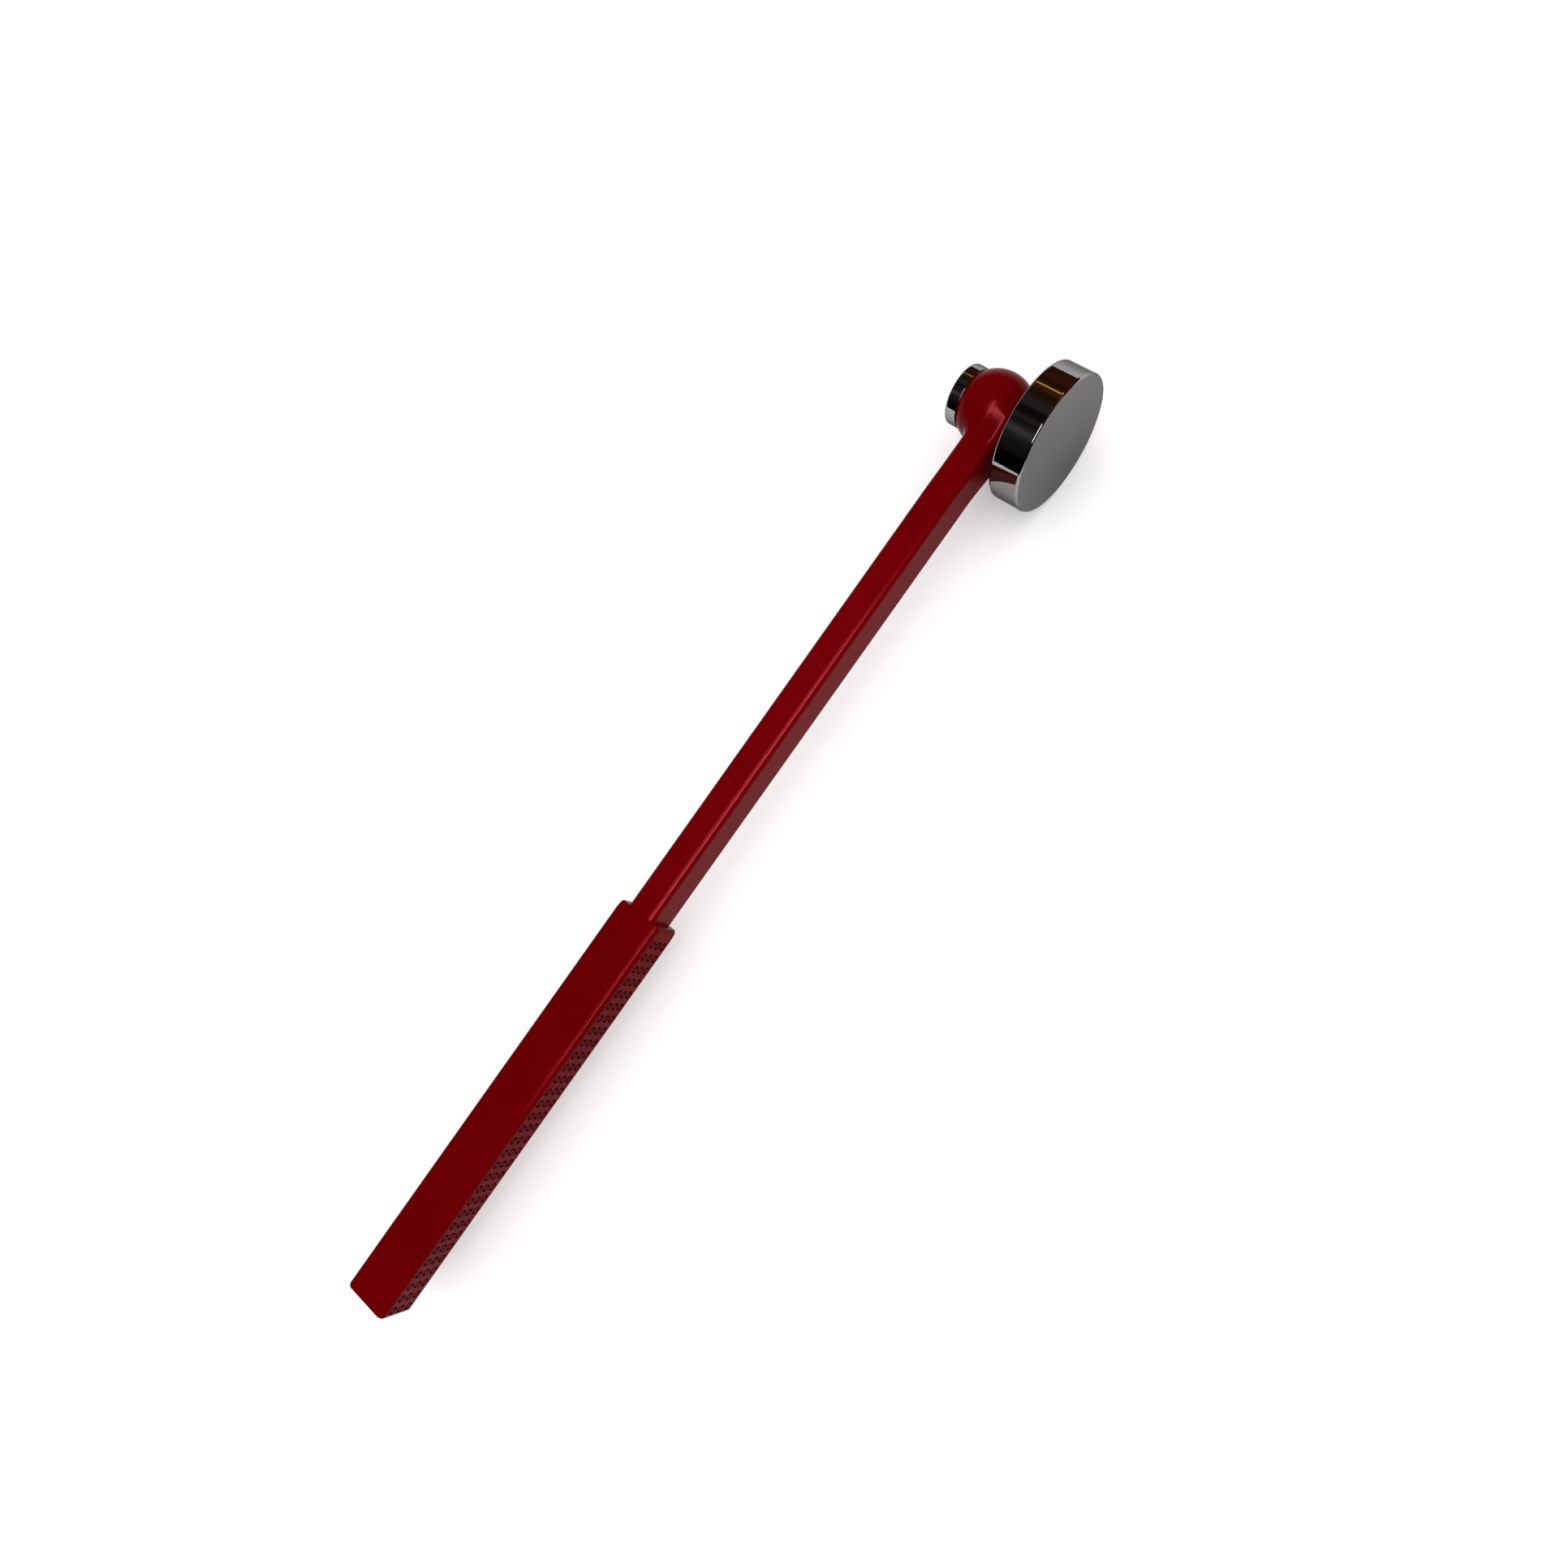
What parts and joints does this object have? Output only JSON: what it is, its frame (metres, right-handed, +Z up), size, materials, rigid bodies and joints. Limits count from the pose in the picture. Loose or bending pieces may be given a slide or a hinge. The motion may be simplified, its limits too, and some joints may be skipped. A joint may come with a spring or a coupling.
{
  "type": "post driver",
  "caption": "Long-handled two-faced driving maul with a ball hub, a broad polished striking disc, a small polished disc and a moulded grip.",
  "frame": {"origin": "bottom centre of the box of the level tool: under the middle of its length, below the large face's rim", "axes": "+X along the striking axis towards the large face, +Y along the handle towards the head, +Z up"},
  "size_m": [0.0728, 0.72, 0.09],
  "materials": {
    "red_paint": "gloss",
    "red_grip": "satin",
    "polished_steel": "mirror polished",
    "plain_steel": "machined",
    "black_nylon": "matte"
  },
  "bodies": {
    "tool": {"hub_ball": "red_paint", "neck": "red_paint", "handle_tube": "red_paint", "tang_pins": "red_paint", "tube_end_plug": "black_nylon", "grip_sleeve": "red_grip"},
    "large_washer": {"large_lock_washer": "plain_steel"},
    "large_head": {"large_face": "polished_steel", "large_face_stud": "plain_steel"},
    "small_washer": {"small_lock_washer": "plain_steel"},
    "small_head": {"small_face": "polished_steel", "small_face_stud": "plain_steel"}
  },
  "joints": [
    {"name": "large_face_travel", "type": "slide", "parent": "tool", "child": "large_washer", "axis": [1, 0, 0], "range_m": [0, 0.022]},
    {"name": "large_face_turn", "type": "hinge", "parent": "large_washer", "child": "large_head", "pos_m": [0.03637, 0.315, 0.045], "axis": [1, 0, 0], "range_deg": [0, 3960]},
    {"name": "small_face_travel", "type": "slide", "parent": "tool", "child": "small_washer", "axis": [-1, 0, 0], "range_m": [0, 0.0105]},
    {"name": "small_face_turn", "type": "hinge", "parent": "small_washer", "child": "small_head", "pos_m": [-0.03637, 0.315, 0.045], "axis": [-1, 0, 0], "range_deg": [0, 2520]}
  ],
  "couplings": [
    {"joint": "large_face_travel", "follows": "large_face_turn", "m_per_rad": 0.00031831},
    {"joint": "small_face_travel", "follows": "small_face_turn", "m_per_rad": 0.00023873}
  ]
}
